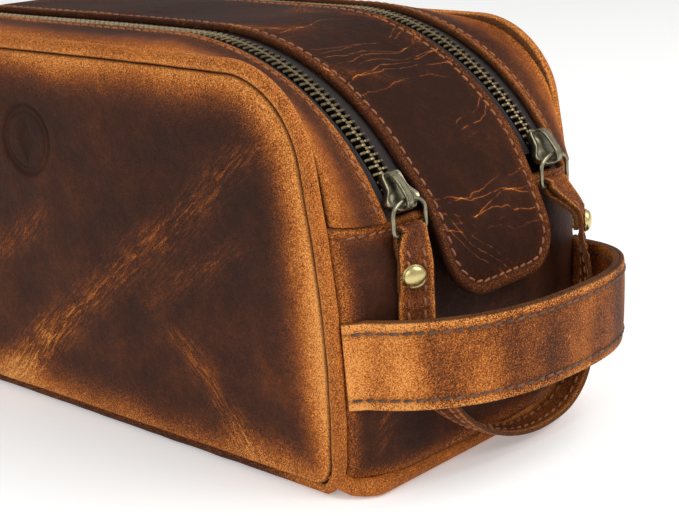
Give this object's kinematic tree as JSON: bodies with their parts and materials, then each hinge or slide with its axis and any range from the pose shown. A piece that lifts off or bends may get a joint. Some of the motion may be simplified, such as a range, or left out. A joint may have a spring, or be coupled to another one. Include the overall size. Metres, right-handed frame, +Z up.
{
  "type": "shaving kit bag",
  "caption": "Hollow leather shaving kit bag: flat base, piped panels, parallel zips along a tongued top flap, a sewn end handle and a pull strap.",
  "frame": {"origin": "middle of the flat base, on the surface the bag stands on", "axes": "+X along the bag towards the handle, +Y to the back panel, +Z up"},
  "size_m": [0.3042, 0.1244, 0.1254],
  "materials": {
    "dark_leather": "waxed pull-up leather, satin, scuffed lighter at the edges",
    "warm_leather": "pull-up leather rubbed to tan, satin",
    "lining_cloth": "plain woven cotton",
    "zip_tape": "woven polyester tape",
    "zip_teeth": "antique brass, worn bright on top",
    "slider_metal": "antique nickel-brass plating",
    "rivet_metal": "antique brass, polished dome"
  },
  "bodies": {
    "bag": {"front_panel": "dark_leather", "back_panel": "dark_leather", "right_end_panel": "dark_leather", "left_end_panel": "dark_leather", "base_panel": "dark_leather", "front_top_strip": "warm_leather", "back_top_strip": "warm_leather", "front_piping": "warm_leather", "back_piping": "warm_leather", "right_end_piping": "warm_leather", "left_end_piping": "warm_leather", "front_lining": "lining_cloth", "back_lining": "lining_cloth", "right_end_lining": "lining_cloth", "left_end_lining": "lining_cloth", "base_lining": "lining_cloth", "front_strip_lining": "lining_cloth", "back_strip_lining": "lining_cloth", "front_zip_tape": "zip_tape", "back_zip_tape": "zip_tape", "front_zip_teeth": "zip_teeth", "back_zip_teeth": "zip_teeth", "handle_outer": "warm_leather", "handle_inner": "warm_leather"},
    "flap": {"flap_panel": "dark_leather", "flap_lining": "lining_cloth", "front_flap_tape": "zip_tape", "back_flap_tape": "zip_tape", "front_flap_teeth": "zip_teeth", "back_flap_teeth": "zip_teeth"},
    "flap_tip": {"flap_tip": "dark_leather", "flap_tip_lining": "lining_cloth"},
    "front_slider": {"front_slider_body": "slider_metal", "front_slider_bridge": "slider_metal"},
    "back_slider": {"back_slider_body": "slider_metal", "back_slider_bridge": "slider_metal"},
    "front_ring": {"front_ring": "slider_metal"},
    "back_ring": {"back_ring": "slider_metal"},
    "strap": {"pull_strap": "warm_leather", "front_rivet_cap": "rivet_metal", "front_rivet_post": "rivet_metal", "back_rivet_cap": "rivet_metal", "back_rivet_post": "rivet_metal"}
  },
  "joints": [
    {"name": "flap_open", "type": "hinge", "parent": "bag", "child": "flap", "pos_m": [-0.13367, 0, 0.079], "axis": [0, -1, 0], "range_deg": [0, 100]},
    {"name": "flap_tip_lift", "type": "hinge", "parent": "flap", "child": "flap_tip", "pos_m": [0.12962, 0, 0.0854], "axis": [0, -1, 0], "range_deg": [0, 60]},
    {"name": "front_slider_travel", "type": "hinge", "parent": "bag", "child": "front_slider", "pos_m": [0, -0.0356, -0.00338], "axis": [0, -1, 0], "range_deg": [0, 112.12]},
    {"name": "back_slider_travel", "type": "hinge", "parent": "bag", "child": "back_slider", "pos_m": [0, 0.0356, -0.00338], "axis": [0, -1, 0], "range_deg": [0, 112.12]},
    {"name": "front_ring_swing", "type": "hinge", "parent": "front_slider", "child": "front_ring", "pos_m": [0.13461, -0.0356, 0.0832], "axis": [0, -1, 0], "range_deg": [0, 190.5]},
    {"name": "back_ring_swing", "type": "hinge", "parent": "back_slider", "child": "back_ring", "pos_m": [0.13461, 0.0356, 0.0832], "axis": [0, -1, 0], "range_deg": [0, 190.5]},
    {"name": "strap_swing", "type": "hinge", "parent": "front_ring", "child": "strap", "pos_m": [0.1351, -0.0356, 0.07371], "axis": [0, -1, 0], "range_deg": [0, 38.5], "deforming": ["pull_strap"]}
  ],
  "couplings": [
    {"joint": "front_slider_travel", "follows": "flap_open", "ratio": 1.1206},
    {"joint": "back_slider_travel", "follows": "flap_open", "ratio": 1.1206},
    {"joint": "front_ring_swing", "follows": "flap_open", "ratio": 1.9},
    {"joint": "back_ring_swing", "follows": "flap_open", "ratio": 1.9},
    {"joint": "strap_swing", "follows": "flap_open", "ratio": 0.26}
  ]
}
